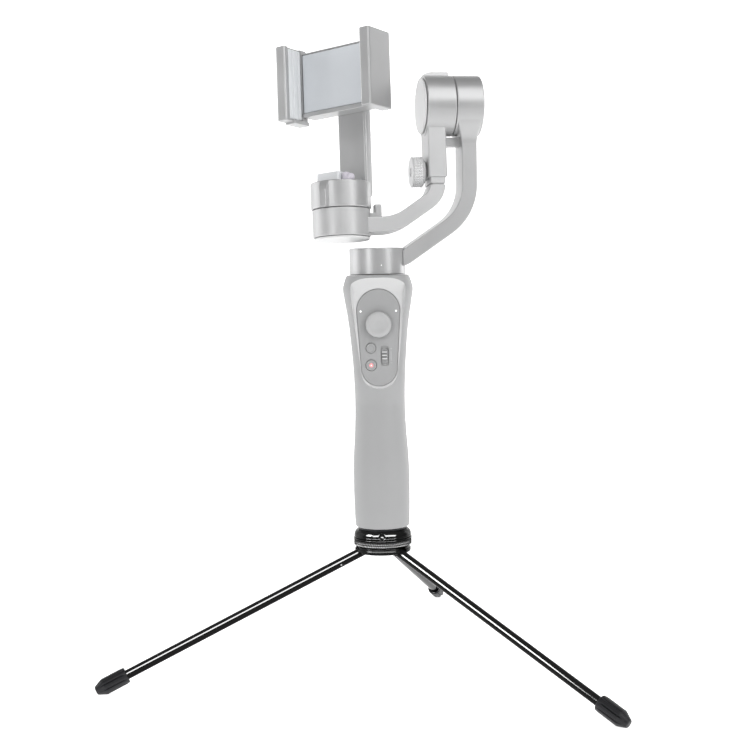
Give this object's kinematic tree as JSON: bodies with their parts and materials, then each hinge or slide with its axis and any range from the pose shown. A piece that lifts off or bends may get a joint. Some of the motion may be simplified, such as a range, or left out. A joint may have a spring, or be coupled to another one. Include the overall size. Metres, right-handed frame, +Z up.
{
  "type": "gimbal stabilizer",
  "caption": "Handheld phone stabilizer: motorised pan, roll and tilt arms with a spring clamp on a contoured grip, screwed onto a folding mini tripod.",
  "frame": {"origin": "middle of the tripod hub's flat underside, on the handle's long axis", "axes": "+Z up along the handle; the control panel faces -Y; the roll motor is on the +X side in the stored pose"},
  "size_m": [0.3057, 0.3021, 0.3927],
  "materials": {
    "grip_plastic": "fine matte soft-touch",
    "panel_plastic": "satin moulded",
    "button_plastic": "satin moulded",
    "cast_alloy": "satin metallic grey",
    "pale_alloy": "satin pale metallic",
    "face_disc": "pale satin",
    "slate_plate": "smooth pale blue-grey",
    "pale_rubber": "ribbed, pale",
    "black_anodised": "glossy black anodised",
    "dark_rubber": "dark grey, ribbed",
    "steel": "turned",
    "brass": "turned",
    "copper": "wound copper and lamination",
    "board": "solder mask",
    "cell_wrap": "shrink film",
    "lilac_rubber": "smooth"
  },
  "bodies": {
    "handle": {"front_shell": "grip_plastic", "rear_shell": "grip_plastic", "control_panel": "panel_plastic", "control_board": "board", "main_board": "board", "battery_cell": "cell_wrap", "base_cap": "grip_plastic", "thread_insert": "brass", "usb_port": "steel", "pan_stator": "copper", "pan_bearing": "steel", "tripod_base": "black_anodised", "top_plate": "black_anodised", "top_pad": "dark_rubber", "tripod_stud": "steel", "leg_pin_rear": "steel", "leg_pin_left": "steel", "leg_pin_right": "steel"},
    "pan_arm": {"pan_housing": "cast_alloy", "pan_magnets": "steel", "pan_shaft": "steel", "pan_arm": "cast_alloy", "roll_end_cap": "face_disc", "roll_stator": "copper", "roll_bearing": "steel"},
    "roll_arm": {"roll_housing": "cast_alloy", "roll_face_disc": "face_disc", "roll_magnets": "steel", "roll_shaft": "steel"},
    "arm_knob": {"arm_knob": "cast_alloy"},
    "tilt_arm": {"tilt_arm": "pale_alloy", "tilt_cover": "face_disc", "tilt_stator": "copper", "tilt_bearing": "steel"},
    "clamp": {"tilt_housing": "cast_alloy", "tilt_magnets": "steel", "tilt_shaft": "steel", "rest_pad": "pale_rubber", "cable_boot": "lilac_rubber", "clamp_post": "cast_alloy", "clamp_body": "cast_alloy", "back_plate": "slate_plate", "fixed_jaw_pad": "pale_rubber", "jaw_spring": "steel"},
    "moving_jaw": {"moving_jaw": "cast_alloy", "moving_jaw_pad": "pale_rubber"},
    "joystick_yoke": {"joystick_yoke": "steel"},
    "joystick": {"joystick": "button_plastic"},
    "mode_button": {"mode_button": "button_plastic"},
    "power_button": {"power_button": "button_plastic"},
    "zoom_slider": {"zoom_slider": "panel_plastic"},
    "usb_flap": {"usb_flap": "grip_plastic"},
    "leg_lock_ring": {"leg_lock_ring": "black_anodised"},
    "rear_leg": {"leg_rear": "black_anodised", "foot_rear": "dark_rubber"},
    "left_leg": {"leg_left": "black_anodised", "foot_left": "dark_rubber"},
    "right_leg": {"leg_right": "black_anodised", "foot_right": "dark_rubber"}
  },
  "joints": [
    {"name": "pan", "type": "hinge", "parent": "handle", "child": "pan_arm", "pos_m": [0, 0, 0.1817], "axis": [0, 0, 1], "continuous": true},
    {"name": "roll", "type": "hinge", "parent": "pan_arm", "child": "roll_arm", "pos_m": [0.04779, 0.008, 0.27715], "axis": [-0.9863, -0.165, 0], "range_deg": [-164, 155]},
    {"name": "arm_slide", "type": "slide", "parent": "roll_arm", "child": "tilt_arm", "axis": [0.0127, -0.0757, -0.9971], "range_m": [-0.003, 0.0025]},
    {"name": "knob_turn", "type": "hinge", "parent": "roll_arm", "child": "arm_knob", "pos_m": [0.02616, 0.00119, 0.23627], "axis": [0.9863, 0.165, 0], "range_deg": [0, 270]},
    {"name": "tilt", "type": "hinge", "parent": "tilt_arm", "child": "clamp", "pos_m": [-0.02148, -0.00857, 0.21334], "axis": [-0.0127, 0.0757, 0.9971], "range_deg": [-210, 109]},
    {"name": "jaw_slide", "type": "slide", "parent": "clamp", "child": "moving_jaw", "axis": [-0.8107, 0.5829, -0.0545], "range_m": [0, 0.028], "stiffness_N_per_m": 80, "springref_m": -0.02},
    {"name": "joystick_up_down", "type": "hinge", "parent": "handle", "child": "joystick_yoke", "pos_m": [0, -0.0102, 0.1431], "axis": [1, 0, 0], "range_deg": [-7, 7], "stiffness_Nm_per_rad": 0.02},
    {"name": "joystick_left_right", "type": "hinge", "parent": "joystick_yoke", "child": "joystick", "pos_m": [0, -0.0102, 0.1431], "axis": [0, 0, 1], "range_deg": [-7, 7], "stiffness_Nm_per_rad": 0.02},
    {"name": "mode_press", "type": "slide", "parent": "handle", "child": "mode_button", "axis": [0, 1, 0], "range_m": [0, 0.0008], "stiffness_N_per_m": 1500},
    {"name": "power_press", "type": "slide", "parent": "handle", "child": "power_button", "axis": [0, 1, 0], "range_m": [0, 0.0008], "stiffness_N_per_m": 1500},
    {"name": "zoom_slide", "type": "slide", "parent": "handle", "child": "zoom_slider", "axis": [0, 0, 1], "range_m": [-0.0016, 0.0016], "stiffness_N_per_m": 600},
    {"name": "usb_flap_hinge", "type": "hinge", "parent": "handle", "child": "usb_flap", "pos_m": [-0.0188, -0.0036, 0.1411], "axis": [0, 0, -1], "range_deg": [0, 90]},
    {"name": "lock_ring_turn", "type": "hinge", "parent": "handle", "child": "leg_lock_ring", "pos_m": [0, 0, 0.0068], "axis": [0, 0, 1], "range_deg": [0, 90]},
    {"name": "rear_leg_fold", "type": "hinge", "parent": "handle", "child": "rear_leg", "pos_m": [0.00225, 0.00923, 0.00219], "axis": [-0.9715, 0.2368, 0], "range_deg": [0, 66.8]},
    {"name": "left_leg_fold", "type": "hinge", "parent": "handle", "child": "left_leg", "pos_m": [-0.00912, -0.00267, 0.00219], "axis": [0.2807, -0.9598, 0], "range_deg": [0, 66.8]},
    {"name": "right_leg_fold", "type": "hinge", "parent": "handle", "child": "right_leg", "pos_m": [0.00687, -0.00656, 0.00219], "axis": [0.6909, 0.723, 0], "range_deg": [0, 66.8]}
  ]
}
